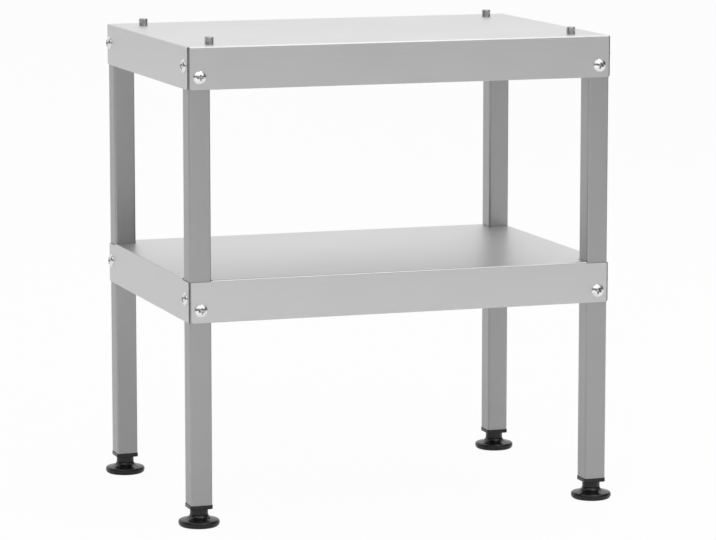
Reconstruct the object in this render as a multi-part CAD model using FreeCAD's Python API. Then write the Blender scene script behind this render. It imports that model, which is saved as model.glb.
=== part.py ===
import FreeCAD, Part
import math
import os

# Two-tier stand for a table-top smoker: folded steel shelves on four square legs with levelling feet.
# Sizes are in millimetres. The origin is on the floor under the middle of the stand, +X runs along
# the shelves, -Y is the front and +Z is up.

# Shelves, each folded from one sheet with four flanges turned down
shelf_width = 400.0
shelf_depth = 275.0
top_shelf_height = 430.0
lower_shelf_height = 223.0
sheet_thickness = 1.0
bend_inner_radius = 0.5
flange_height = 38.0
flange_corner_radius = 2.5
tab_corner_radius = 1.0
notch_clearance = 0.5

# Legs of square tube
leg_side = 20.0
leg_wall = 1.2
leg_corner_radius = 2.0

# Pan head screws that hold the shelves, and the rivet nuts in the legs that they turn into
screw_radius = 3.0
screw_length = 12.0
screw_head_radius = 6.0
screw_head_height = 3.4
screw_head_edge = 1.0
screw_hole_clearance = 0.3
recess_width = 1.5
recess_span = 6.4
recess_depth = 1.9
recess_turn_step = 38.0
front_screw_drop = 27.0
rivet_nut_radius = 4.5
rivet_nut_length = 13.0
rivet_collar_radius = 5.8
rivet_collar_length = 2.5
rivet_nut_spacing = 0.6

# Locating studs on the top plate, with a washer and a nut below it
locating_stud_radius = 4.0
locating_stud_height = 6.5
locating_stud_chamfer = 0.5
locating_shank_radius = 3.0
washer_radius = 6.0
washer_thickness = 1.6
washer_leg_gap = 1.0
nut_across_flats = 10.0
nut_height = 5.0
shank_past_nut = 1.5

# Plastic plugs in the lower ends of the legs, each holding a threaded bush
plug_flange_thickness = 3.5
plug_flange_overhang = 0.4
plug_flange_corner_radius = 2.4
plug_body_length = 24.0
plug_fit_clearance = 0.1
plug_rib_depth = 0.8
plug_rib_thickness = 2.0
plug_rib_count = 3
bush_radius = 5.5
bush_length = 14.0
bush_seat_height = 2.0

# Levelling feet: a threaded stud in a moulded foot with a neck and a flared disc
foot_height = 16.5
foot_disc_radius = 18.6
foot_base_radius = 15.0
foot_disc_widest_height = 4.0
foot_shoulder_radius = 17.0
foot_shoulder_height = 6.3
foot_flare_radius = 11.8
foot_flare_height = 7.45
foot_neck_radius = 8.1
foot_neck_height = 12.4
foot_stud_radius = 4.0
foot_stud_seat_depth = 11.0
foot_stud_chamfer = 0.8
foot_travel = 10.0
foot_thread_engagement = 8.0

# Fits
thread_clearance = 0.05
press_clearance = 0.02

# Sizes that follow from the ones above
bend_outer_radius = bend_inner_radius + sheet_thickness
side_screw_drop = front_screw_drop - 2 * rivet_nut_radius - rivet_nut_spacing
leg_x = shelf_width / 2 - sheet_thickness - leg_side / 2
leg_y = shelf_depth / 2 - sheet_thickness - leg_side / 2
leg_bottom = foot_height + plug_flange_thickness
leg_top = top_shelf_height - sheet_thickness - bend_inner_radius
leg_bore = leg_side - 2 * leg_wall
stud_inset = sheet_thickness + leg_side + washer_leg_gap + washer_radius
stud_x = shelf_width / 2 - stud_inset
stud_y = shelf_depth / 2 - stud_inset

UP = FreeCAD.Vector(0, 0, 1)
SHELF_HEIGHTS = {"top_shelf": top_shelf_height, "lower_shelf": lower_shelf_height}
CORNERS = {
    "front_left": (-1, -1),
    "front_right": (1, -1),
    "back_left": (-1, 1),
    "back_right": (1, 1),
}


def point(x, y, z):
    return FreeCAD.Vector(x, y, z)


def box(low, high):
    size = high - low
    return Part.makeBox(size.x, size.y, size.z, low)


def square_bar(side, corner_radius, low, high):
    """An upright square bar on the Z axis with rounded corners, from height low to high."""
    bar = box(point(-side / 2, -side / 2, low), point(side / 2, side / 2, high))
    upright = [edge for edge in bar.Edges if abs(edge.tangentAt(edge.FirstParameter).z) > 0.5]
    return bar.makeFillet(corner_radius, upright)


def turned(edges):
    """A solid of revolution about the Z axis from a closed outline in the XZ plane."""
    face = Part.Face(Part.Wire(edges))
    return face.revolve(point(0, 0, 0), UP, 360)


def lines(*points):
    return [Part.makeLine(start, end) for start, end in zip(points, points[1:])]


def arc(start, middle, end):
    return Part.Arc(start, middle, end).toShape()


def corner_arc(centre, radius, from_x, from_z):
    """A quarter circle in the XZ plane about centre, from its side point to its upper or lower point."""
    slant = radius * math.sqrt(0.5)
    return arc(
        centre + point(from_x * radius, 0, 0),
        centre + point(from_x * slant, 0, from_z * slant),
        centre + point(0, 0, from_z * radius),
    )


def upright_arc(side, end):
    """An arc in the XZ plane that leaves the side point straight up or down and runs to the end point."""
    centre_x = (end.x ** 2 - side.x ** 2 + (end.z - side.z) ** 2) / (2 * (end.x - side.x))
    centre = point(centre_x, 0, side.z)
    middle = (side - centre) + (end - centre)
    middle.normalize()
    return arc(side, centre + middle * side.distanceToPoint(centre), end)


# Shelves
def folded_section(span):
    """The inverted U that the sheet makes across the shelf, with the plate's upper face at height 0."""
    half = span / 2
    flat = half - bend_outer_radius
    inside = half - sheet_thickness
    right_bend = point(flat, 0, -bend_outer_radius)
    left_bend = point(-flat, 0, -bend_outer_radius)
    edges = [
        corner_arc(right_bend, bend_outer_radius, 1, 1),
        corner_arc(right_bend, bend_inner_radius, 1, 1),
        corner_arc(left_bend, bend_outer_radius, -1, 1),
        corner_arc(left_bend, bend_inner_radius, -1, 1),
    ]
    edges += lines(point(-flat, 0, 0), point(flat, 0, 0))
    edges += lines(point(-flat, 0, -sheet_thickness), point(flat, 0, -sheet_thickness))
    for side in (-1, 1):
        edges += lines(
            point(side * half, 0, -bend_outer_radius),
            point(side * half, 0, -flange_height),
            point(side * inside, 0, -flange_height),
            point(side * inside, 0, -bend_outer_radius),
        )
    return Part.Face(Part.Wire(Part.__sortEdges__(edges)))


def flange_outline(length, tab_length):
    """The flange seen square on: lower corners rounded, and a lowered tab at both ends beside the legs."""
    half = length / 2
    foot = flange_corner_radius
    edges = lines(point(foot - half, 0, -flange_height), point(half - foot, 0, -flange_height))
    for side in (-1, 1):
        end = side * half
        lower = point(end - side * foot, 0, foot - flange_height)
        edges.append(corner_arc(lower, foot, side, -1))
        if tab_length > 0:
            round_end = point(end - side * tab_corner_radius, 0, -bend_outer_radius - tab_corner_radius)
            step = end - side * tab_length
            edges.append(corner_arc(round_end, tab_corner_radius, side, 1))
            edges += lines(point(end, 0, lower.z), point(end, 0, round_end.z))
            edges += lines(
                point(round_end.x, 0, -bend_outer_radius),
                point(step, 0, -bend_outer_radius),
                point(step, 0, 0),
            )
        else:
            edges += lines(point(end, 0, lower.z), point(end, 0, 0))
    top = half - tab_length
    edges += lines(point(-top, 0, 0), point(top, 0, 0))
    return Part.Face(Part.Wire(Part.__sortEdges__(edges)))


def folded_pair(span, length, tab_length):
    """The plate with the two flanges that stand span apart along X, each running length along Y."""
    bent = folded_section(span).extrude(point(0, length, 0))
    bent.translate(point(0, -length / 2, 0))
    outline = flange_outline(length, tab_length)
    outline = outline.extrude(point(0, 2 * span, 0))
    outline.translate(point(0, -span, 0))
    outline.rotate(point(0, 0, 0), UP, 90)
    return bent.common(outline)


def corner_screw_places(side_x, side_y, height):
    """The two screws at a shelf's corner: where each axis leaves the flange, and the way that it points."""
    face_y = point(side_x * leg_x, side_y * shelf_depth / 2, height - front_screw_drop)
    face_x = point(side_x * shelf_width / 2, side_y * leg_y, height - side_screw_drop)
    return [(face_y, point(0, side_y, 0)), (face_x, point(side_x, 0, 0))]


def screw_places(height):
    return [place for corner in CORNERS.values() for place in corner_screw_places(*corner, height)]


def make_shelf(height, tab_length):
    side_flanges = folded_pair(shelf_width, shelf_depth - 2 * bend_outer_radius, tab_length)
    front_flanges = folded_pair(shelf_depth, shelf_width - 2 * bend_outer_radius, tab_length)
    front_flanges.rotate(point(0, 0, 0), UP, 90)
    shelf = side_flanges.fuse(front_flanges).removeSplitter()
    shelf.translate(point(0, 0, height))
    for place, out in screw_places(height):
        hole = Part.makeCylinder(screw_radius + screw_hole_clearance, 2 * sheet_thickness, place, out * -1)
        shelf = shelf.cut(hole)
    return shelf


leg_tab_length = sheet_thickness + leg_side + notch_clearance - bend_outer_radius
top_shelf = make_shelf(top_shelf_height, 0)
for side_x, side_y in CORNERS.values():
    hole_low = point(side_x * stud_x, side_y * stud_y, top_shelf_height - 2 * sheet_thickness)
    hole_radius = locating_shank_radius + screw_hole_clearance
    top_shelf = top_shelf.cut(Part.makeCylinder(hole_radius, 3 * sheet_thickness, hole_low))
lower_shelf = make_shelf(lower_shelf_height, leg_tab_length)


# Legs
def make_leg(side_x, side_y):
    leg = square_bar(leg_side, leg_corner_radius, leg_bottom, leg_top)
    bore_corner = max(leg_corner_radius - leg_wall, leg_wall / 4)
    leg = leg.cut(square_bar(leg_bore, bore_corner, leg_bottom, leg_top))
    leg.translate(point(side_x * leg_x, side_y * leg_y, 0))
    hole_radius = rivet_nut_radius + press_clearance
    for height in SHELF_HEIGHTS.values():
        for place, out in corner_screw_places(side_x, side_y, height):
            hole = Part.makeCylinder(hole_radius, sheet_thickness + leg_side / 2, place, out * -1)
            leg = leg.cut(hole)
    return leg


# Shelf screws and rivet nuts, made pointing along +Z with the seat of the head at height 0
def make_screw():
    crown_rise = screw_head_height - screw_head_edge
    crown_radius = (screw_head_radius ** 2 + crown_rise ** 2) / (2 * crown_rise)
    crown_centre = screw_head_height - crown_radius
    half_way = math.asin(screw_head_radius / crown_radius) / 2
    rim = point(screw_head_radius, 0, screw_head_edge)
    crown = point(0, 0, screw_head_height)
    middle_height = crown_centre + crown_radius * math.cos(half_way)
    outline = [arc(rim, point(crown_radius * math.sin(half_way), 0, middle_height), crown)]
    outline += lines(
        crown,
        point(0, 0, -screw_length),
        point(screw_radius, 0, -screw_length),
        point(screw_radius, 0, 0),
        point(screw_head_radius, 0, 0),
        rim,
    )
    screw = turned(outline)
    floor = screw_head_height - recess_depth
    for across, along in ((recess_span, recess_width), (recess_width, recess_span)):
        low = point(-across / 2, -along / 2, floor)
        high = point(across / 2, along / 2, screw_head_height + recess_depth)
        screw = screw.cut(box(low, high))
    return screw


def make_rivet_nut():
    """A flush rivet nut from the leg's outer face inwards, with the collar that its pull makes."""
    inner_end = point(0, 0, -rivet_nut_length)
    body = Part.makeCylinder(rivet_nut_radius, rivet_nut_length, inner_end)
    collar_end = point(0, 0, -leg_wall - rivet_collar_length)
    collar = Part.makeCylinder(rivet_collar_radius, rivet_collar_length, collar_end)
    bore = Part.makeCylinder(screw_radius + thread_clearance, rivet_nut_length, inner_end)
    return body.fuse(collar).cut(bore).removeSplitter()


screw_shape = make_screw()
rivet_nut_shape = make_rivet_nut()


def at_screws(shape, height, depth, turn_step):
    """Copies of a +Z piece at every screw, set depth behind the flange and each turned a step more."""
    copies = []
    for count, (place, out) in enumerate(screw_places(height)):
        turn = FreeCAD.Rotation(UP, out).multiply(FreeCAD.Rotation(UP, turn_step * count))
        piece = shape.copy()
        piece.Placement = FreeCAD.Placement(place - out * depth, turn)
        copies.append(piece)
    return Part.makeCompound(copies)


# Locating studs and their washers and nuts, made with the plate's upper face at height 0
def make_locating_stud():
    shank_end = -sheet_thickness - washer_thickness - nut_height - shank_past_nut
    top_radius = locating_stud_radius - locating_stud_chamfer
    return turned(lines(
        point(0, 0, shank_end),
        point(locating_shank_radius, 0, shank_end),
        point(locating_shank_radius, 0, 0),
        point(locating_stud_radius, 0, 0),
        point(locating_stud_radius, 0, locating_stud_height - locating_stud_chamfer),
        point(top_radius, 0, locating_stud_height),
        point(0, 0, locating_stud_height),
        point(0, 0, shank_end),
    ))


def make_washer():
    low = point(0, 0, -sheet_thickness - washer_thickness)
    disc = Part.makeCylinder(washer_radius, washer_thickness, low)
    return disc.cut(Part.makeCylinder(locating_shank_radius + screw_hole_clearance, washer_thickness, low))


def make_nut():
    low = point(0, 0, -sheet_thickness - washer_thickness - nut_height)
    across_corners = nut_across_flats / (3 ** 0.5 / 2)
    turns = [FreeCAD.Rotation(UP, 60 * corner) for corner in range(7)]
    rim = [low + turn.multVec(point(across_corners / 2, 0, 0)) for turn in turns]
    hexagon = Part.Face(Part.makePolygon(rim)).extrude(UP * nut_height)
    return hexagon.cut(Part.makeCylinder(locating_shank_radius + thread_clearance, nut_height, low))


def at_studs(shape):
    copies = []
    for side_x, side_y in CORNERS.values():
        piece = shape.copy()
        piece.translate(point(side_x * stud_x, side_y * stud_y, top_shelf_height))
        copies.append(piece)
    return Part.makeCompound(copies)


# Leg plugs and bushes, made on the Z axis at their real height
def make_plug():
    flange_side = leg_side + 2 * plug_flange_overhang
    flange = square_bar(flange_side, plug_flange_corner_radius, foot_height, leg_bottom)
    rib_side = leg_bore - 2 * plug_fit_clearance
    core_side = rib_side - 2 * plug_rib_depth
    body_top = leg_bottom + plug_body_length
    plug = flange.fuse(square_bar(core_side, plug_rib_depth, leg_bottom, body_top))
    rib_pitch = (plug_body_length - plug_rib_thickness) / plug_rib_count
    for rib in range(plug_rib_count):
        rib_low = leg_bottom + rib_pitch * (rib + 1)
        plug = plug.fuse(square_bar(rib_side, plug_rib_depth, rib_low, rib_low + plug_rib_thickness))
    pocket_low = point(0, 0, leg_bottom + bush_seat_height)
    pocket = Part.makeCylinder(bush_radius + press_clearance, plug_body_length, pocket_low)
    bore_length = plug_flange_thickness + plug_body_length
    bore = Part.makeCylinder(foot_stud_radius + screw_hole_clearance, bore_length, point(0, 0, foot_height))
    return plug.cut(pocket).cut(bore).removeSplitter()


def make_bush():
    low = point(0, 0, leg_bottom + bush_seat_height)
    bush = Part.makeCylinder(bush_radius, bush_length, low)
    return bush.cut(Part.makeCylinder(foot_stud_radius + thread_clearance, bush_length, low))


# Levelling feet, made on the Z axis, screwed fully in
def make_foot_stud():
    low = foot_height - foot_stud_seat_depth
    high = leg_bottom + bush_seat_height + foot_thread_engagement + foot_travel
    tip = foot_stud_radius - foot_stud_chamfer
    return turned(lines(
        point(0, 0, low),
        point(foot_stud_radius, 0, low),
        point(foot_stud_radius, 0, high - foot_stud_chamfer),
        point(tip, 0, high),
        point(0, 0, high),
        point(0, 0, low),
    ))


def make_foot():
    base = point(foot_base_radius, 0, 0)
    widest = point(foot_disc_radius, 0, foot_disc_widest_height)
    shoulder = point(foot_shoulder_radius, 0, foot_shoulder_height)
    flare = point(foot_flare_radius, 0, foot_flare_height)
    neck = point(foot_neck_radius, 0, foot_neck_height)
    bore_low = foot_height - foot_stud_seat_depth
    bore = foot_stud_radius + thread_clearance
    outline = [upright_arc(widest, base), upright_arc(widest, shoulder), upright_arc(neck, flare)]
    outline += lines(shoulder, flare)
    outline += lines(
        neck,
        point(foot_neck_radius, 0, foot_height),
        point(bore, 0, foot_height),
        point(bore, 0, bore_low),
        point(0, 0, bore_low),
        point(0, 0, 0),
        base,
    )
    return turned(Part.__sortEdges__(outline))


# The finished pieces by node name
pieces = {"top_shelf": top_shelf, "lower_shelf": lower_shelf}
for shelf_name, shelf_height in SHELF_HEIGHTS.items():
    pieces[shelf_name + "_screws"] = at_screws(screw_shape, shelf_height, 0, recess_turn_step)
    pieces[shelf_name + "_rivet_nuts"] = at_screws(rivet_nut_shape, shelf_height, sheet_thickness, 0)
pieces["locating_studs"] = at_studs(make_locating_stud())
pieces["locating_stud_washers"] = at_studs(make_washer())
pieces["locating_stud_nuts"] = at_studs(make_nut())
for corner, (side_x, side_y) in CORNERS.items():
    pieces[corner + "_leg"] = make_leg(side_x, side_y)
    on_axis = {
        "_leg_plug": make_plug(),
        "_plug_bush": make_bush(),
        "_foot_stud": make_foot_stud(),
        "_foot": make_foot(),
    }
    for ending, shape in on_axis.items():
        shape.translate(point(side_x * leg_x, side_y * leg_y, 0))
        pieces[corner + ending] = shape

os.makedirs("parts", exist_ok=True)
for node, shape in pieces.items():
    shape.exportStep("parts/" + node + ".step")
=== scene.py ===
import math

import bmesh
import bpy
from mathutils import Matrix, Vector


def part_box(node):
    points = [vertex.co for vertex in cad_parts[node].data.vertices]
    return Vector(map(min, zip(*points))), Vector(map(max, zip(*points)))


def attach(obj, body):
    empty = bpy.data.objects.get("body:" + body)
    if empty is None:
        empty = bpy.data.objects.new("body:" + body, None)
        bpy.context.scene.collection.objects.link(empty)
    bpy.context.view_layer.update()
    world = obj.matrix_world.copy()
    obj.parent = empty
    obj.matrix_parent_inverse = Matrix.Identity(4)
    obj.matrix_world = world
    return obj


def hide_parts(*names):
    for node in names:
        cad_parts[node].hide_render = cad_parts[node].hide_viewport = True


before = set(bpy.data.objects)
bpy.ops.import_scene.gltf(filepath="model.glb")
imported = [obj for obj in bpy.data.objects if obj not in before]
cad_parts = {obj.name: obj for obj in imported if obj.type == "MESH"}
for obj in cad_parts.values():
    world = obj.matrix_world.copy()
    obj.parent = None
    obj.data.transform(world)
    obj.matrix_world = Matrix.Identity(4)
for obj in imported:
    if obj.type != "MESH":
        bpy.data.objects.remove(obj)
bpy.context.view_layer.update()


# Legs: four lengths of square steel tube with rounded corners and a satin silver finish.
# Each is sawn to length, deburred at both ends and drilled in its two outer faces, where the shelves
# are screwed to the rivet nuts inside it.
CORNERS = ("front_left", "front_right", "back_left", "back_right")
SHELVES = ("top_shelf", "lower_shelf")
UP = Vector((0, 0, 1))
SMOOTH_BELOW = math.radians(35)
leg_wall = 0.0012
leg_corner_radius = 0.002
leg_deburring = 0.0002
leg_drill_depth = 3 * leg_wall
leg_grain = (900, 900, 14)
leg_shade = 0.49
leg_roughness = 0.42
rolled_tone_spread = 0.06
rolled_streak_roughness = 0.08
rolled_cloud_roughness = 0.04
rivet_nut_radius = 0.0045
screw_head_radius = 0.006
press_clearance = 0.00002
hole_sides = 40


class Signal:
    """A socket of a finish's nodes: arithmetic on it adds Math nodes, and node() adds any other node."""

    def __init__(self, socket):
        self.socket = socket

    def node(self, kind, settings, inputs, output=0):
        made = self.socket.id_data.nodes.new(kind)
        for name, value in settings.items():
            setattr(made, name, value)
        fill(made, inputs)
        return Signal(made.outputs[output])

    def maths(self, operation, first, second):
        return self.node("ShaderNodeMath", {"operation": operation}, {0: first, 1: second})

    def __add__(self, other):
        return self.maths("ADD", self, other)

    def __rsub__(self, other):
        return self.maths("SUBTRACT", other, self)

    def __mul__(self, other):
        return self.maths("MULTIPLY", self, other)

    __radd__ = __add__
    __rmul__ = __mul__


def fill(node, inputs):
    """Sets a node's sockets, or links them where the value is a signal."""
    for name, value in inputs.items():
        if isinstance(value, Signal):
            node.id_data.links.new(value.socket, node.inputs[name])
        else:
            node.inputs[name].default_value = value


def new_finish(name):
    """A new material, its main shader and the piece's own coordinates."""
    finish = bpy.data.materials.new(name)
    finish.use_nodes = True
    nodes = finish.node_tree.nodes
    return finish, nodes["Principled BSDF"], Signal(nodes.new("ShaderNodeTexCoord").outputs["Object"])


def noise(place, scale, detail=2.0):
    """Cloudy noise from 0 to 1."""
    return place.node("ShaderNodeTexNoise", {}, {"Vector": place, "Scale": scale, "Detail": detail})


def streaked(place, grain, detail=2.0):
    """Noise drawn out into streaks: grain is its scale along X, Y and Z."""
    drawn_out = place.node("ShaderNodeMapping", {}, {"Vector": place, "Scale": grain})
    return noise(drawn_out, scale=1.0, detail=detail)


def colours(factor, dark, light):
    """A colour between two. The colours of a Mix node are its inputs 6 and 7, and its output 2."""
    return factor.node("ShaderNodeMix", {"data_type": "RGBA"}, {0: factor, 6: (*dark, 1), 7: (*light, 1)}, 2)


def greys(factor, dark, light):
    """A neutral colour between two grey levels."""
    return colours(factor, (dark, dark, dark), (light, light, light))


def relief(height, depth, strength):
    """Fine relief in a surface that is too small to model."""
    return height.node("ShaderNodeBump", {}, {"Height": height, "Distance": depth, "Strength": strength})


def rolled_steel(name, shade, grain, roughness):
    """Satin steel with the fine streaks that rolling leaves, and slow clouds in its tone and gloss."""
    finish, shader, place = new_finish(name)
    streaks = streaked(place, grain, detail=3.0)
    clouds = noise(place, scale=16.0)
    tone = 0.5 * (streaks + clouds)
    smoothest = roughness - (rolled_streak_roughness + rolled_cloud_roughness) / 2
    fill(shader, {
        "Metallic": 1.0,
        "Base Color": greys(tone, shade * (1 - rolled_tone_spread), shade * (1 + rolled_tone_spread)),
        "Roughness": smoothest + rolled_streak_roughness * streaks + rolled_cloud_roughness * clouds,
        "Normal": relief(streaks, depth=0.00002, strength=0.15),
    })
    return finish


def round_off(shape, parts, size, segments, affect="EDGES"):
    """Rounds edges, or outline corners where affect is VERTICES, with arcs that start size away."""
    measure = "OFFSET" if affect == "EDGES" else "ABSOLUTE"
    bmesh.ops.bevel(
        shape, geom=parts, offset=size, offset_type=measure, affect=affect,
        segments=segments, profile=0.5, material=-1)


def sharp_edges(shape):
    """The edges of a shape that don't run smoothly from face to face."""
    return [edge for edge in shape.edges if edge.calc_face_angle(0) > SMOOTH_BELOW]


def combine(shape, tool, operation):
    """Cuts a closed tool out of a closed shape with DIFFERENCE, or keeps what both fill with INTERSECT."""
    blanks = []
    for content in (shape, tool):
        blank = bpy.data.objects.new("blank", bpy.data.meshes.new("blank"))
        content.to_mesh(blank.data)
        bpy.context.scene.collection.objects.link(blank)
        blanks.append(blank)
    cutting = blanks[0].modifiers.new("cutting", "BOOLEAN")
    cutting.operation = operation
    cutting.object = blanks[1]
    graph = bpy.context.evaluated_depsgraph_get()
    result = bpy.data.meshes.new_from_object(blanks[0].evaluated_get(graph))
    shape.clear()
    shape.from_mesh(result)
    tool.free()
    for mesh in (blanks[0].data, blanks[1].data, result):
        bpy.data.meshes.remove(mesh)


def facing(place, out, turn=0.0):
    """The place of a piece made along +Z that now points out, turned about that axis."""
    pointed = out.to_track_quat("Z", "Y").to_matrix().to_4x4()
    return Matrix.Translation(place) @ pointed @ Matrix.Rotation(turn, 4, "Z")


def drill(shape, places, radius, depth):
    """Drills round holes: depth reaches as far in front of each place as behind it."""
    bits = bmesh.new()
    for place, out in places:
        bmesh.ops.create_cone(
            bits, cap_ends=True, segments=hole_sides, radius1=radius, radius2=radius, depth=2 * depth,
            matrix=facing(place, out))
    combine(shape, bits, "DIFFERENCE")


def upright_axis(node):
    """Where the upright axis in the middle of a node meets the floor."""
    low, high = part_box(node)
    return Vector(((low.x + high.x) / 2, (low.y + high.y) / 2, 0))


def screw_places(shelf, corners=CORNERS):
    """Where the two screws at each corner of a shelf leave its flanges, and the way that they point."""
    shelf_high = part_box(shelf)[1]
    lowest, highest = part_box(shelf + "_screws")
    front_height = lowest.z + screw_head_radius
    side_height = highest.z - screw_head_radius
    places = []
    for corner in corners:
        leg_axis = upright_axis(corner + "_leg")
        side_x = math.copysign(1, leg_axis.x)
        side_y = math.copysign(1, leg_axis.y)
        places.append((Vector((leg_axis.x, side_y * shelf_high.y, front_height)), Vector((0, side_y, 0))))
        places.append((Vector((side_x * shelf_high.x, leg_axis.y, side_height)), Vector((side_x, 0, 0))))
    return places


def add_piece(shape, name, finishes, body, node):
    """Makes a shape a piece of the stand that rides on a body in place of a node of the frame."""
    mesh = bpy.data.meshes.new(name)
    shape.to_mesh(mesh)
    shape.free()
    for finish in finishes:
        mesh.materials.append(finish)
    mesh.shade_smooth()
    mesh.set_sharp_from_angle(angle=SMOOTH_BELOW)
    piece = bpy.data.objects.new(name, mesh)
    bpy.context.scene.collection.objects.link(piece)
    evening = piece.modifiers.new("even_shading", "WEIGHTED_NORMAL")
    evening.keep_sharp = True
    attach(piece, body)
    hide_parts(node)


def make_leg(corner):
    """A length of tube with its walls, deburred ends and the holes for the rivet nuts."""
    low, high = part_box(corner + "_leg")
    tube = bmesh.new()
    block = Matrix.Translation((low + high) / 2) @ Matrix.Diagonal((*(high - low), 1))
    bmesh.ops.create_cube(tube, size=1, matrix=block)
    ends = [face for face in tube.faces if abs(face.normal.z) > 0.5]
    bmesh.ops.delete(tube, geom=ends, context="FACES_ONLY")
    upright = [edge for edge in tube.edges if len(edge.link_faces) == 2]
    round_off(tube, upright, leg_corner_radius, segments=8)
    bmesh.ops.solidify(tube, geom=tube.faces[:], thickness=leg_wall)
    round_off(tube, sharp_edges(tube), leg_deburring, segments=2)
    holes = [place for shelf in SHELVES for place in screw_places(shelf, [corner])]
    drill(tube, holes, rivet_nut_radius + press_clearance, leg_drill_depth)
    return tube


leg_finish = rolled_steel("leg_steel", leg_shade, leg_grain, leg_roughness)
for corner in CORNERS:
    add_piece(make_leg(corner), corner + "_leg_tube", [leg_finish], "stand", corner + "_leg")


# Rivet nuts: flush zinc-plated steel sleeves, pulled tight in the leg walls behind the shelf flanges.
# They sit wholly inside the legs, so the frame's own solids are kept for them.
zinc_dark = (0.516, 0.528, 0.54)
zinc_light = (0.624, 0.636, 0.66)
zinc_patch_share = 0.6
zinc_roughness = 0.24
zinc_patch_roughness = 0.16


def zinc_plate(name):
    """Zinc plating on steel: a cool grey with small cloudy patches."""
    finish, shader, place = new_finish(name)
    patches = noise(place, scale=700.0, detail=4.0)
    clouds = noise(place, scale=90.0)
    tone = zinc_patch_share * patches + (1 - zinc_patch_share) * clouds
    fill(shader, {
        "Metallic": 1.0,
        "Base Color": colours(tone, zinc_dark, zinc_light),
        "Roughness": zinc_roughness + zinc_patch_roughness * patches,
        "Normal": relief(patches, depth=0.00002, strength=0.2),
    })
    return finish


def dress(node, finish):
    """Gives a solid of the frame a finish."""
    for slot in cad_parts[node].material_slots:
        slot.material = finish


zinc_finish = zinc_plate("zinc_plate")
for shelf in SHELVES:
    dress(shelf + "_rivet_nuts", zinc_finish)


# Leg plugs: black nylon mouldings pressed into the lower ends of the legs.
# The square flange with its softened edges stays outside the tube, and the ribbed body grips inside it.
# A brass bush, pressed into the body, carries the thread of the foot.
plug_flange_corner = 0.0024
plug_flange_softening = 0.0005
plug_rib_side = 0.0174
plug_core_side = 0.0158
plug_rib_thickness = 0.002
plug_rib_count = 3
plug_bore_radius = 0.0043
nylon_dark = 0.008
nylon_light = 0.0125
nylon_shine = 0.45
nylon_roughness = 0.1
nylon_flow_roughness = 0.06
nylon_skin_roughness = 0.05
brass_dark = (0.55, 0.39, 0.15)
brass_light = (0.78, 0.6, 0.28)
brass_grain = (60, 60, 6000)
brass_roughness = 0.22
brass_ring_roughness = 0.14


def black_nylon(name):
    """Moulded black plastic: semi-gloss, with a fine bead-blasted skin and faint flow clouds."""
    finish, shader, place = new_finish(name)
    skin = noise(place, scale=2600.0, detail=3.0)
    flow = noise(place, scale=120.0)
    fill(shader, {
        "Base Color": greys(flow, nylon_dark, nylon_light),
        "Roughness": nylon_roughness + nylon_flow_roughness * flow + nylon_skin_roughness * skin,
        "Specular IOR Level": nylon_shine,
        "Normal": relief(skin, depth=0.00003, strength=0.12),
    })
    return finish


def machined_brass(name):
    """Turned brass: fine rings along the bush and a warm uneven tone."""
    finish, shader, place = new_finish(name)
    rings = streaked(place, brass_grain)
    fill(shader, {
        "Metallic": 1.0,
        "Base Color": colours(rings, brass_dark, brass_light),
        "Roughness": brass_roughness + brass_ring_roughness * rings,
        "Normal": relief(rings, depth=0.00002, strength=0.2),
    })
    return finish


def rounded_square(centre, side, corner_radius, segments):
    """A flat square with rounded corners, as a shape with one face."""
    shape = bmesh.new()
    bmesh.ops.create_grid(
        shape, x_segments=1, y_segments=1, size=side / 2, matrix=Matrix.Translation(centre))
    round_off(shape, shape.verts[:], corner_radius, segments, "VERTICES")
    return shape


def raise_end(shape, end, axis, scale, height):
    """Extrudes the end face of an upright bar to a height, scaled about the bar's axis."""
    made = bmesh.ops.extrude_face_region(shape, geom=[end])["geom"]
    corners = [part for part in made if isinstance(part, bmesh.types.BMVert)]
    bmesh.ops.scale(shape, vec=(scale, scale, 1), verts=corners, space=Matrix.Translation(-axis))
    for corner in corners:
        corner.co.z = height
    return next(part for part in made if isinstance(part, bmesh.types.BMFace))


def make_plug(corner):
    """A plug from its flange up: the flange, a core with ribs, and the bore and the pocket of the bush."""
    low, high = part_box(corner + "_leg_plug")
    leg_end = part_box(corner + "_leg")[0].z
    bush_low, bush_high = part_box(corner + "_plug_bush")
    axis = upright_axis(corner + "_leg_plug")
    flange_side = high.x - low.x
    plug = rounded_square(axis + UP * low.z, flange_side, plug_flange_corner, segments=8)
    end = raise_end(plug, plug.faces[:][0], axis, 1, leg_end)
    bmesh.ops.recalc_face_normals(plug, faces=plug.faces[:])
    outer_edges = [edge for edge in sharp_edges(plug) if edge not in end.edges]
    round_off(plug, outer_edges, plug_flange_softening, segments=3)
    end = max(plug.faces, key=lambda face: face.calc_center_median().z)
    end = raise_end(plug, end, axis, plug_core_side / flange_side, leg_end)
    rib_pitch = (high.z - leg_end - plug_rib_thickness) / plug_rib_count
    to_core = plug_core_side / plug_rib_side
    for rib in range(1, plug_rib_count + 1):
        rib_low = leg_end + rib_pitch * rib
        end = raise_end(plug, end, axis, 1, rib_low)
        end = raise_end(plug, end, axis, 1 / to_core, rib_low)
        end = raise_end(plug, end, axis, 1, rib_low + plug_rib_thickness)
        if rib < plug_rib_count:
            end = raise_end(plug, end, axis, to_core, rib_low + plug_rib_thickness)
    bmesh.ops.recalc_face_normals(plug, faces=plug.faces[:])
    pocket_radius = (bush_high.x - bush_low.x) / 2 + press_clearance
    drill(plug, [(axis + UP * low.z, UP)], plug_bore_radius, 2 * (high.z - low.z))
    drill(plug, [(axis + UP * high.z, UP)], pocket_radius, high.z - bush_low.z)
    return plug


plug_finish = black_nylon("plug_nylon")
bush_finish = machined_brass("bush_brass")
for corner in CORNERS:
    add_piece(make_plug(corner), corner + "_plug_moulding", [plug_finish], "stand", corner + "_leg_plug")
    dress(corner + "_plug_bush", bush_finish)


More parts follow.
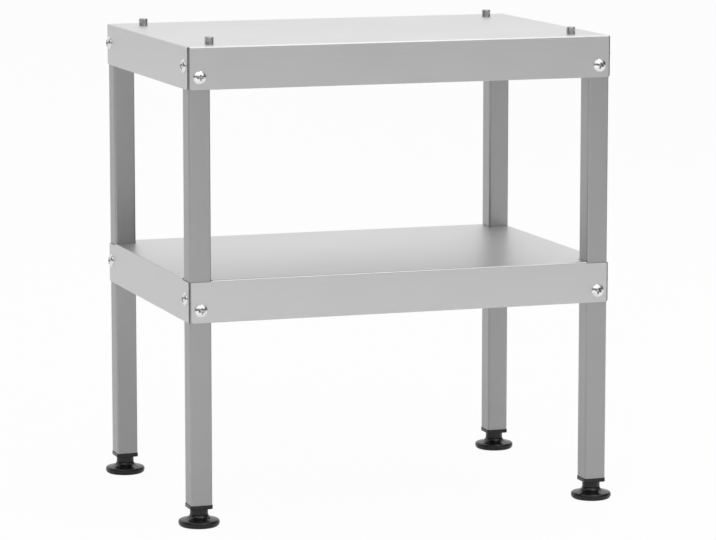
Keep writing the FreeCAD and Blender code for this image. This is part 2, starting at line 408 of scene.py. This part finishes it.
# Shelves: two trays, each folded from one sheet of satin silver steel with four flanges turned down.
# The corners are left open, and the lower tray is notched there so that the legs run through it, with
# a lowered tab of flange beside each leg. Screws through the flanges hold both trays to the legs.
SECOND_FINISH = 1
sheet_thickness = 0.001
bend_radius = 0.0015
bend_steps = 10
flange_corner_radius = 0.0025
tab_corner_radius = 0.001
leg_notch = 0.02
sheared_edge = 0.00012
corner_relief = 0.0003
screw_hole_radius = 0.0033
sheet_drill_depth = 2 * sheet_thickness
locating_stud_radius = 0.004
sheet_grain = (14, 900, 900)
sheet_shade = 0.72
sheet_roughness = 0.36
sheared_grain = (2600, 2600, 260)
# The dark tone of the cut edges is painted shade, standing in for the shade in the gaps of the open corners.
sheared_painted_shade_dark = 0.22
sheared_painted_shade_light = 0.34
sheared_roughness = 0.42
sheared_streak_roughness = 0.2
rim_tolerance = 0.05


def sheared_steel_with_painted_shade(name):
    """The bare cut edge of a sheet: dull, with the short upright streaks of the shear. Its dark tone is
    painted shade, the shade of the gaps at the open corners, given to every cut edge.
    """
    finish, shader, place = new_finish(name)
    streaks = streaked(place, sheared_grain, detail=3.0)
    fill(shader, {
        "Metallic": 1.0,
        "Base Color": greys(streaks, sheared_painted_shade_dark, sheared_painted_shade_light),
        "Roughness": sheared_roughness + sheared_streak_roughness * streaks,
        "Normal": relief(streaks, depth=0.00003, strength=0.3),
    })
    return finish


def draw_out(shape, edges, move):
    """Extrudes edges by a move and gives the new edges and faces."""
    made = bmesh.ops.extrude_edge_only(shape, edges=edges)["geom"]
    verts = [part for part in made if isinstance(part, bmesh.types.BMVert)]
    edges = [part for part in made if isinstance(part, bmesh.types.BMEdge)]
    faces = [part for part in made if isinstance(part, bmesh.types.BMFace)]
    bmesh.ops.translate(shape, verts=verts, vec=move)
    return edges, faces


def make_tray(shelf, notch):
    """A plate with four bent flanges: where it is notched, the flanges run on past the notches as tabs."""
    low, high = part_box(shelf)
    flat = high - Vector((bend_radius + notch, bend_radius + notch, 0))
    tray = bmesh.new()
    bmesh.ops.create_grid(
        tray, x_segments=1, y_segments=1, size=1,
        matrix=Matrix.Translation((0, 0, high.z)) @ Matrix.Diagonal((flat.x, flat.y, 1, 1)))
    plate_edges = tray.edges[:]
    for plate_edge in plate_edges:
        middle = (plate_edge.verts[0].co + plate_edge.verts[1].co) / 2
        out = Vector((middle.x, middle.y, 0)).normalized()
        along = UP.cross(out)
        edges = [plate_edge]
        if notch:
            edges = draw_out(tray, edges, out * notch)[0]
        bend_axis = middle + out * notch - UP * bend_radius
        bent = bmesh.ops.spin(
            tray, geom=[*edges, *edges[0].verts], cent=bend_axis, axis=along, angle=math.pi / 2,
            steps=bend_steps)
        edges = [part for part in bent["geom_last"] if isinstance(part, bmesh.types.BMEdge)]
        flange = draw_out(tray, edges, UP * (low.z - high.z + bend_radius))[1][0]
        if notch:
            ends = [
                edge for edge in flange.edges
                if abs((edge.verts[0].co - edge.verts[1].co).z) > bend_radius]
            for end in ends:
                side = math.copysign(1, (end.verts[0].co - middle).dot(along))
                draw_out(tray, [end], along * side * notch)
    for vert in tray.verts:
        for length_axis, width_axis in ((0, 1), (1, 0)):
            flange_end = high[length_axis] - bend_radius - corner_relief
            bend_start = high[width_axis] - bend_radius + sheared_edge
            if abs(vert.co[width_axis]) > bend_start and abs(vert.co[length_axis]) > flange_end:
                vert.co[length_axis] = math.copysign(flange_end, vert.co[length_axis])
    half_way = (low.z + high.z) / 2
    corners = [vert for vert in tray.verts if len(vert.link_edges) == 2 and vert.co.z < half_way]
    round_off(tray, corners, flange_corner_radius, segments=8, affect="VERTICES")
    tabs = [vert for vert in tray.verts if len(vert.link_edges) == 2 and vert.co.z > half_way]
    if tabs:
        round_off(tray, tabs, tab_corner_radius, segments=5, affect="VERTICES")
    bmesh.ops.recalc_face_normals(tray, faces=tray.faces[:])
    if max(tray.faces, key=lambda face: face.calc_area()).normal.z < 0:
        bmesh.ops.reverse_faces(tray, faces=tray.faces[:])
    bmesh.ops.solidify(tray, geom=tray.faces[:], thickness=sheet_thickness)
    # The cut rims take the dark sheared finish: painted shade along every cut edge of the sheet.
    for face in tray.faces:
        if any(abs(edge.calc_length() / sheet_thickness - 1) < rim_tolerance for edge in face.edges):
            face.material_index = SECOND_FINISH
    round_off(tray, sharp_edges(tray), sheared_edge, segments=2)
    drill(tray, screw_places(shelf), screw_hole_radius, sheet_drill_depth)
    return tray


sheet_finishes = [
    rolled_steel("sheet_steel", sheet_shade, sheet_grain, sheet_roughness),
    sheared_steel_with_painted_shade("sheared_edges_painted_shade"),
]
top_tray = make_tray("top_shelf", notch=0)
stud_low, stud_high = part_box("locating_studs")
stud_x = stud_high.x - locating_stud_radius
stud_y = stud_high.y - locating_stud_radius
plate_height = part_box("top_shelf")[1].z
stud_places = [
    Vector((side_x * stud_x, side_y * stud_y, plate_height))
    for side_y in (-1, 1) for side_x in (-1, 1)]
drill(top_tray, [(place, UP) for place in stud_places], screw_hole_radius, sheet_drill_depth)
lower_tray = make_tray("lower_shelf", leg_notch)
add_piece(top_tray, "top_shelf_tray", sheet_finishes, "stand", "top_shelf")
add_piece(lower_tray, "lower_shelf_tray", sheet_finishes, "stand", "lower_shelf")


# Shelf screws: sixteen bright-plated pan head machine screws with cross recesses, two at each corner
# of both shelves. They are cold-headed steel, and come to rest with their recesses at any angle.
MERGE_DISTANCE = 1e-6
BEND_SHARE = 0.85
screw_radius = 0.003
screw_length = 0.012
screw_crown = 0.0034
screw_head_edge = 0.001
screw_edge_softening = 0.0004
screw_seat_softening = 0.0001
screw_tip_softening = 0.0003
recess_span = 0.0087
recess_width = 0.0019
recess_depth = 0.0026
recess_overlap = 0.0004
recess_floor_scale = (0.25, 0.75, 1)
recess_turn = math.radians(38)
plating_dark = 0.86
plating_light = 0.95
plating_grain = (400, 400, 5200)
plating_roughness = 0.15
plating_hairline_roughness = 0.06
plating_polish_roughness = 0.06
# The recess is coloured darker than the crown: painted shade in the cross recess.
recess_painted_shade_dark = 0.5
recess_painted_shade_light = 0.64
recess_roughness = 0.16
recess_skin_roughness = 0.1


def bright_plating(name):
    """Bright nickel plating with hairline scratches and slightly uneven polish."""
    finish, shader, place = new_finish(name)
    hairlines = streaked(place, plating_grain, detail=3.0)
    polish = noise(place, scale=260.0)
    scratched = plating_roughness + plating_hairline_roughness * hairlines
    fill(shader, {
        "Metallic": 1.0,
        "Base Color": greys(polish, plating_dark, plating_light),
        "Roughness": scratched + plating_polish_roughness * polish,
        "Normal": relief(hairlines, depth=0.00001, strength=0.08),
    })
    return finish


def punched_recess_painted_shade(name):
    """The plating inside a punched recess: duller than on the crown, with a grained skin, and darker with
    painted shade in the recess.
    """
    finish, shader, place = new_finish(name)
    skin = noise(place, scale=3000.0, detail=3.0)
    fill(shader, {
        "Metallic": 1.0,
        "Base Color": greys(skin, recess_painted_shade_dark, recess_painted_shade_light),
        "Roughness": recess_roughness + recess_skin_roughness * skin,
        "Normal": relief(skin, depth=0.00002, strength=0.15),
    })
    return finish


def lathe(outline, closed=False, steps=48):
    """Turns an outline of (radius, height, rounding) corners about the Z axis into a closed shape."""
    shape = bmesh.new()
    corners = [shape.verts.new((radius, 0, height)) for radius, height, rounding in outline]
    ends = corners[1:] + corners[:1] if closed else corners[1:]
    for pair in zip(corners, ends):
        shape.edges.new(pair)
    for corner, (radius, height, rounding) in zip(corners, outline):
        if rounding:
            round_off(shape, [corner], rounding, segments=7, affect="VERTICES")
    bmesh.ops.remove_doubles(shape, verts=shape.verts[:], dist=MERGE_DISTANCE)
    bmesh.ops.spin(
        shape, geom=shape.verts[:] + shape.edges[:], cent=(0, 0, 0), axis=UP,
        angle=2 * math.pi, steps=steps, use_merge=True)
    bmesh.ops.remove_doubles(shape, verts=shape.verts[:], dist=MERGE_DISTANCE)
    bmesh.ops.recalc_face_normals(shape, faces=shape.faces[:])
    return shape


def copies(shape, places):
    """One shape that holds a copy of a shape at every place."""
    group = bmesh.new()
    blank = bpy.data.meshes.new("blank")
    shape.to_mesh(blank)
    shape.free()
    for place in places:
        count = len(group.verts)
        group.from_mesh(blank)
        bmesh.ops.transform(group, matrix=place, verts=group.verts[:][count:])
    bpy.data.meshes.remove(blank)
    return group


def make_screw():
    """A screw that points up: the crown bends down to the edge of the head, and two crossed wings are cut."""
    crown_rise = screw_crown - screw_head_edge
    crown_tangent = (screw_head_radius ** 2 + crown_rise ** 2) / (2 * screw_head_radius)
    screw = lathe([
        (0, screw_crown, 0),
        (crown_tangent, screw_crown, crown_tangent * BEND_SHARE),
        (screw_head_radius, screw_head_edge, screw_edge_softening),
        (screw_head_radius, 0, screw_seat_softening),
        (screw_radius, 0, 0),
        (screw_radius, -screw_length, screw_tip_softening),
        (0, -screw_length, 0),
    ])
    for turn in (0, math.pi / 2):
        wing = bmesh.new()
        middle = Matrix.Translation((0, 0, screw_crown - recess_depth / 2 + recess_overlap))
        block = middle @ Matrix.Diagonal((recess_span, recess_width, recess_depth, 1))
        bmesh.ops.create_cube(wing, size=1, matrix=block)
        floor = [vert for vert in wing.verts if vert.co.z < screw_crown]
        bmesh.ops.scale(wing, vec=recess_floor_scale, verts=floor)
        bmesh.ops.rotate(wing, cent=(0, 0, 0), matrix=Matrix.Rotation(turn, 3, "Z"), verts=wing.verts[:])
        # The wings' faces take the recess finish, with its painted shade.
        for face in wing.faces:
            face.material_index = SECOND_FINISH
        combine(screw, wing, "DIFFERENCE")
    return screw


screw_finishes = [bright_plating("bright_screws"), punched_recess_painted_shade("screw_recesses_painted_shade")]
for shelf in SHELVES:
    turned = [
        facing(place, out, recess_turn * count)
        for count, (place, out) in enumerate(screw_places(shelf))]
    screws = copies(make_screw(), turned)
    add_piece(screws, shelf + "_screw_set", screw_finishes, "stand", shelf + "_screws")


# Locating studs: four turned steel pins with a polished head that stands above the top plate and keeps
# the smoker in place. Each is drawn down by a washer and a hexagon nut on the thread below the plate.
stud_softening = 0.001
stud_seat_softening = 0.00025
stud_thread_radius = 0.003
stud_thread_depth = 0.0006
stud_thread_pitch = 0.001
thread_steps = 24
thread_spare_turns = 2
thread_seam_share = 0.001
thread_cut_tolerance = 1e-9
washer_bore_radius = 0.0033
washer_softening = 0.0002
nut_chamfer_drop = 0.0006
nut_face_share = 0.96
nut_cone_share = 1.02
turned_dark = 0.46
turned_light = 0.56
turned_grain = (40, 40, 9000)
turned_roughness = 0.07
turned_ring_roughness = 0.06
turned_polish_roughness = 0.04


def turned_steel(name):
    """Polished turned steel with the fine rings of the tool."""
    finish, shader, place = new_finish(name)
    rings = streaked(place, turned_grain)
    polish = noise(place, scale=300.0)
    fill(shader, {
        "Metallic": 1.0,
        "Base Color": greys(polish, turned_dark, turned_light),
        "Roughness": turned_roughness + turned_ring_roughness * rings + turned_polish_roughness * polish,
        "Normal": relief(rings, depth=0.00001, strength=0.12),
    })
    return finish


def threaded_rod(radius, depth, pitch, low, high):
    """An upright rod with a helical thread, and a chamfer down to the thread's root at both ends."""
    turns = math.ceil((high - low) / pitch) + thread_spare_turns
    root = radius - depth
    root_flat = pitch / 4
    crest_flat = pitch / 8
    flank = (pitch - root_flat - crest_flat) / 2
    tooth = [
        (root, 0),
        (root, root_flat),
        (radius, root_flat + flank),
        (radius, root_flat + flank + crest_flat),
        (root, pitch),
    ]
    rod = bmesh.new()
    corners = [rod.verts.new((distance, 0, low - pitch + rise)) for distance, rise in tooth]
    for pair in zip(corners, corners[1:]):
        rod.edges.new(pair)
    bmesh.ops.spin(
        rod, geom=rod.verts[:] + rod.edges[:], cent=(0, 0, 0), axis=UP,
        dvec=UP * pitch / thread_steps, angle=2 * math.pi * turns, steps=thread_steps * turns)
    bmesh.ops.remove_doubles(rod, verts=rod.verts[:], dist=pitch * thread_seam_share)
    for height, way in ((low, -1), (high, 1)):
        cut = bmesh.ops.bisect_plane(
            rod, geom=rod.verts[:] + rod.edges[:] + rod.faces[:], plane_co=UP * height, plane_no=UP * way,
            clear_outer=True, dist=thread_cut_tolerance)
        rim = [part for part in cut["geom_cut"] if isinstance(part, bmesh.types.BMEdge)]
        bmesh.ops.edgeloop_fill(rod, edges=rim)
    for vert in rod.verts:
        room = root + min(vert.co.z - low, high - vert.co.z)
        distance = vert.co.xy.length
        if distance > room:
            vert.co.xy *= room / distance
    bmesh.ops.recalc_face_normals(rod, faces=rod.faces[:])
    return rod


def join(shape, other):
    """Adds another shape's mesh to a shape."""
    blank = bpy.data.meshes.new("blank")
    other.to_mesh(blank)
    other.free()
    shape.from_mesh(blank)
    bpy.data.meshes.remove(blank)


stud_head = stud_high.z - plate_height
stud_end = stud_low.z - plate_height
stud = lathe([
    (0, stud_head, 0),
    (locating_stud_radius, stud_head, stud_softening),
    (locating_stud_radius, 0, stud_seat_softening),
    (0, 0, 0),
])
join(stud, threaded_rod(stud_thread_radius, stud_thread_depth, stud_thread_pitch, stud_end, 0))

washer_low, washer_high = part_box("locating_stud_washers")
washer_radius = washer_high.x - stud_x
washer_top = washer_high.z - plate_height
washer_bottom = washer_low.z - plate_height
washer = lathe([
    (washer_bore_radius, washer_top, washer_softening),
    (washer_radius, washer_top, washer_softening),
    (washer_radius, washer_bottom, washer_softening),
    (washer_bore_radius, washer_bottom, washer_softening),
], closed=True)

nut_low, nut_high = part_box("locating_stud_nuts")
nut_corner_radius = nut_high.x - stud_x
nut_height = nut_high.z - nut_low.z
nut_middle = UP * ((nut_low.z + nut_high.z) / 2 - plate_height)
nut = bmesh.new()
bmesh.ops.create_cone(
    nut, cap_ends=True, segments=6, radius1=nut_corner_radius, radius2=nut_corner_radius, depth=nut_height,
    matrix=Matrix.Translation(nut_middle) @ Matrix.Rotation(math.pi / 2, 4, "Z"))
nut_face_radius = nut_corner_radius * math.cos(math.pi / 6) * nut_face_share
nut_cone_radius = nut_corner_radius * nut_cone_share
nut_cone = lathe([
    (0, nut_height / 2, 0),
    (nut_face_radius, nut_height / 2, 0),
    (nut_cone_radius, nut_height / 2 - nut_chamfer_drop, 0),
    (nut_cone_radius, nut_chamfer_drop - nut_height / 2, 0),
    (nut_face_radius, -nut_height / 2, 0),
    (0, -nut_height / 2, 0),
])
bmesh.ops.translate(nut_cone, verts=nut_cone.verts[:], vec=nut_middle)
combine(nut, nut_cone, "INTERSECT")
drill(nut, [(nut_middle, UP)], stud_thread_radius, nut_height)

stud_finish = turned_steel("polished_studs")
spots = [Matrix.Translation(place) for place in stud_places]
add_piece(copies(stud, spots), "locating_stud_pins", [stud_finish], "stand", "locating_studs")
add_piece(copies(washer, spots), "stud_washer_set", [zinc_finish], "stand", "locating_stud_washers")
add_piece(copies(nut, spots), "stud_nut_set", [zinc_finish], "stand", "locating_stud_nuts")


# Foot studs: zinc-plated threaded rods that carry the feet and screw into the bushes of the leg plugs.
# The lower end is moulded into the foot, so that the thread shows only as the foot is screwed out.
foot_thread_depth = 0.0008
foot_thread_pitch = 0.00125
for corner in CORNERS:
    low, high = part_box(corner + "_foot_stud")
    foot_thread_radius = (high.x - low.x) / 2
    rod = threaded_rod(foot_thread_radius, foot_thread_depth, foot_thread_pitch, low.z, high.z)
    bmesh.ops.translate(rod, verts=rod.verts[:], vec=upright_axis(corner + "_foot_stud"))
    add_piece(rod, corner + "_foot_thread", [zinc_finish], corner + "_foot_stud", corner + "_foot_stud")


# Feet: black nylon mouldings with a neck that flares into a broad round disc, turned by hand to level
# the stand. A fine parting line runs round the disc where the two halves of the mould met.
foot_base_radius = 0.015
foot_widest_height = 0.004
foot_shoulder = (0.017, 0.0063)
foot_flare = (0.0118, 0.00745)
foot_neck = (0.0081, 0.0124)
foot_bore_radius = 0.00405
foot_edge_softening = 0.0003
foot_shoulder_softening = 0.00015
foot_steps = 96
parting_ridge = 0.00008


def upright_bend(side, end):
    """The corner of an outline that leaves the side point upright and bends to the end point."""
    across = end[0] - side[0]
    rise = end[1] - side[1]
    length = (across ** 2 + rise ** 2) / (2 * abs(rise))
    return (side[0], side[1] + math.copysign(length, rise), length * BEND_SHARE)


def make_foot(corner):
    """A foot turned from its outline: from the middle of its base, round the disc and up to the bore."""
    low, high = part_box(corner + "_foot")
    bore_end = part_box(corner + "_foot_stud")[0].z
    ridge_radius = (high.x - low.x) / 2
    base_edge = (foot_base_radius, low.z)
    under_ridge = (ridge_radius - parting_ridge, foot_widest_height - parting_ridge)
    over_ridge = (ridge_radius - parting_ridge, foot_widest_height + parting_ridge)
    foot = lathe([
        (0, low.z, 0),
        (*base_edge, foot_edge_softening),
        upright_bend(under_ridge, base_edge),
        (*under_ridge, 0),
        (ridge_radius, foot_widest_height, 0),
        (*over_ridge, 0),
        upright_bend(over_ridge, foot_shoulder),
        (*foot_shoulder, foot_shoulder_softening),
        (*foot_flare, foot_edge_softening),
        upright_bend(foot_neck, foot_flare),
        (foot_neck[0], high.z, foot_edge_softening),
        (foot_bore_radius, high.z, 0),
        (foot_bore_radius, bore_end, 0),
        (0, bore_end, 0),
    ], steps=foot_steps)
    bmesh.ops.translate(foot, verts=foot.verts[:], vec=upright_axis(corner + "_foot"))
    return foot


foot_finish = black_nylon("foot_nylon")
for corner in CORNERS:
    add_piece(make_foot(corner), corner + "_foot_moulding", [foot_finish], corner + "_foot", corner + "_foot")


# Studio: a white floor in four quarters that follow the feet, in a room that is white behind the stand and
# dim in front of it. Five broad softboxes light the stand. Two more light the floor that the metal mirrors,
# one in front of the stand and one behind it, and aren't mirrored themselves.
scene = bpy.context.scene
scene.view_settings.view_transform = "Standard"
floor_half_width = 30.0
floor_whiteness = 0.95
floor_mirrored_whiteness = 0.15
floor_shade = 0.9
room_in_front = 0.08
room_behind = 0.67
room_above = 0.39
back_begins = 0.1
back_full = 0.75
ceiling_begins = 0.15
ceiling_full = 0.9
stand_middle = (0, 0, 0.25)


def ray(nodes, kind):
    """1 for rays of a kind, such as Is Camera Ray, and 0 for all others."""
    return Signal(nodes.new("ShaderNodeLightPath").outputs[kind])


floor_finish = bpy.data.materials.new("white_floor")
floor_finish.use_nodes = True
floor_nodes = floor_finish.node_tree.nodes
floor_nodes.remove(floor_nodes["Principled BSDF"])
seen = ray(floor_nodes, "Is Camera Ray")
mirrored = ray(floor_nodes, "Is Glossy Ray") + ray(floor_nodes, "Is Transmission Ray")
matt = seen.node("ShaderNodeBsdfDiffuse", {}, {"Color": (floor_shade, floor_shade, floor_shade, 1)})
glow = seen.node("ShaderNodeEmission", {}, {"Color": (1, 1, 1, 1), "Strength": 1.0})
floor_surface = seen.node("ShaderNodeMixShader", {}, {
    0: floor_whiteness * seen + floor_mirrored_whiteness * mirrored, 1: matt, 2: glow})
fill(floor_nodes["Material Output"], {"Surface": floor_surface})
for corner in CORNERS:
    leg_axis = upright_axis(corner + "_leg")
    middle_x = math.copysign(floor_half_width / 2, leg_axis.x)
    middle_y = math.copysign(floor_half_width / 2, leg_axis.y)
    quarter = bmesh.new()
    bmesh.ops.create_grid(
        quarter, x_segments=1, y_segments=1, size=floor_half_width / 2,
        matrix=Matrix.Translation((middle_x, middle_y, 0)))
    floor_mesh = bpy.data.meshes.new(corner + "_floor")
    quarter.to_mesh(floor_mesh)
    quarter.free()
    floor_mesh.materials.append(floor_finish)
    floor = bpy.data.objects.new(corner + "_floor", floor_mesh)
    scene.collection.objects.link(floor)
    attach(floor, corner + "_foot_stud")


def ramp(value, start, end):
    """A smooth step from 0 to 1."""
    return value.node("ShaderNodeMapRange", {"interpolation_type": "SMOOTHSTEP"}, {
        "Value": value, "From Min": start, "From Max": end})


room = bpy.data.worlds.new("white_room")
room.use_nodes = True
scene.world = room
room_nodes = room.node_tree.nodes
looked_at = ray(room_nodes, "Is Camera Ray")
way = Signal(room_nodes.new("ShaderNodeTexCoord").outputs["Generated"])
depth = way.node("ShaderNodeSeparateXYZ", {}, {"Vector": way}, "Y")
rise = way.node("ShaderNodeSeparateXYZ", {}, {"Vector": way}, "Z")
behind = room_behind * ramp(depth, back_begins, back_full)
above = room_above * ramp(rise, ceiling_begins, ceiling_full)
light_around = room_in_front + behind + above
fill(room_nodes["Background"], {
    "Color": (1, 1, 1, 1),
    "Strength": light_around + (1 - light_around) * looked_at,
})


def add_softbox(name, place, target, size, power, mirrored=True):
    """A rectangular lamp that points at a target: power is in watts."""
    light = bpy.data.lights.new(name, "AREA")
    light.shape = "RECTANGLE"
    light.size, light.size_y = size
    light.energy = power
    softbox = bpy.data.objects.new(name, light)
    softbox.location = place
    softbox.rotation_euler = (Vector(target) - Vector(place)).to_track_quat("-Z", "Y").to_euler()
    softbox.visible_glossy = mirrored
    scene.collection.objects.link(softbox)


add_softbox(
    "key_softbox", place=(-0.9, -1.5, 1.9), target=stand_middle, size=(3.0, 1.9), power=14.0)
add_softbox(
    "front_softbox", place=(1.0, -2.0, 1.7), target=stand_middle, size=(2.4, 1.3), power=8.5)
add_softbox(
    "overhead_softbox", place=(0.5, 0.8, 2.0), target=stand_middle, size=(3.2, 2.2), power=4.5)
add_softbox(
    "rear_softbox", place=(0.7, 1.4, 1.8), target=stand_middle, size=(1.6, 1.2), power=2.7)
add_softbox(
    "strip_softbox", place=(0.6, -0.5, 2.1), target=(0.6, 0, 0.25), size=(0.7, 2.2), power=5.4)
add_softbox(
    "front_floor_softbox", place=(-1.3, -2.6, 1.6), target=(-1.3, -2.6, 0), size=(1.0, 1.0), power=29.5,
    mirrored=False)
add_softbox(
    "back_floor_softbox", place=(-1.4, 3.8, 1.8), target=(-1.4, 3.8, 0), size=(1.0, 1.0), power=20.0,
    mirrored=False)


# Camera: a long lens a little above the stand and to the left of its front, as in the photograph.
# Its place, its turn and the lens were fitted to the edges and corners of the stand there.
camera_place = Vector((-1.0829, -3.2121, 0.7029))
camera_turn = 0.32625
camera_tilt = 0.14593
camera_lens = 184.17
camera_sensor = 36.0
camera_data = bpy.data.cameras.new("camera")
camera_data.sensor_width = camera_sensor
camera_data.lens = camera_lens
camera = bpy.data.objects.new("camera", camera_data)
camera.location = camera_place
camera.rotation_euler = (math.pi / 2 - camera_tilt, 0, -camera_turn)
scene.collection.objects.link(camera)
scene.camera = camera
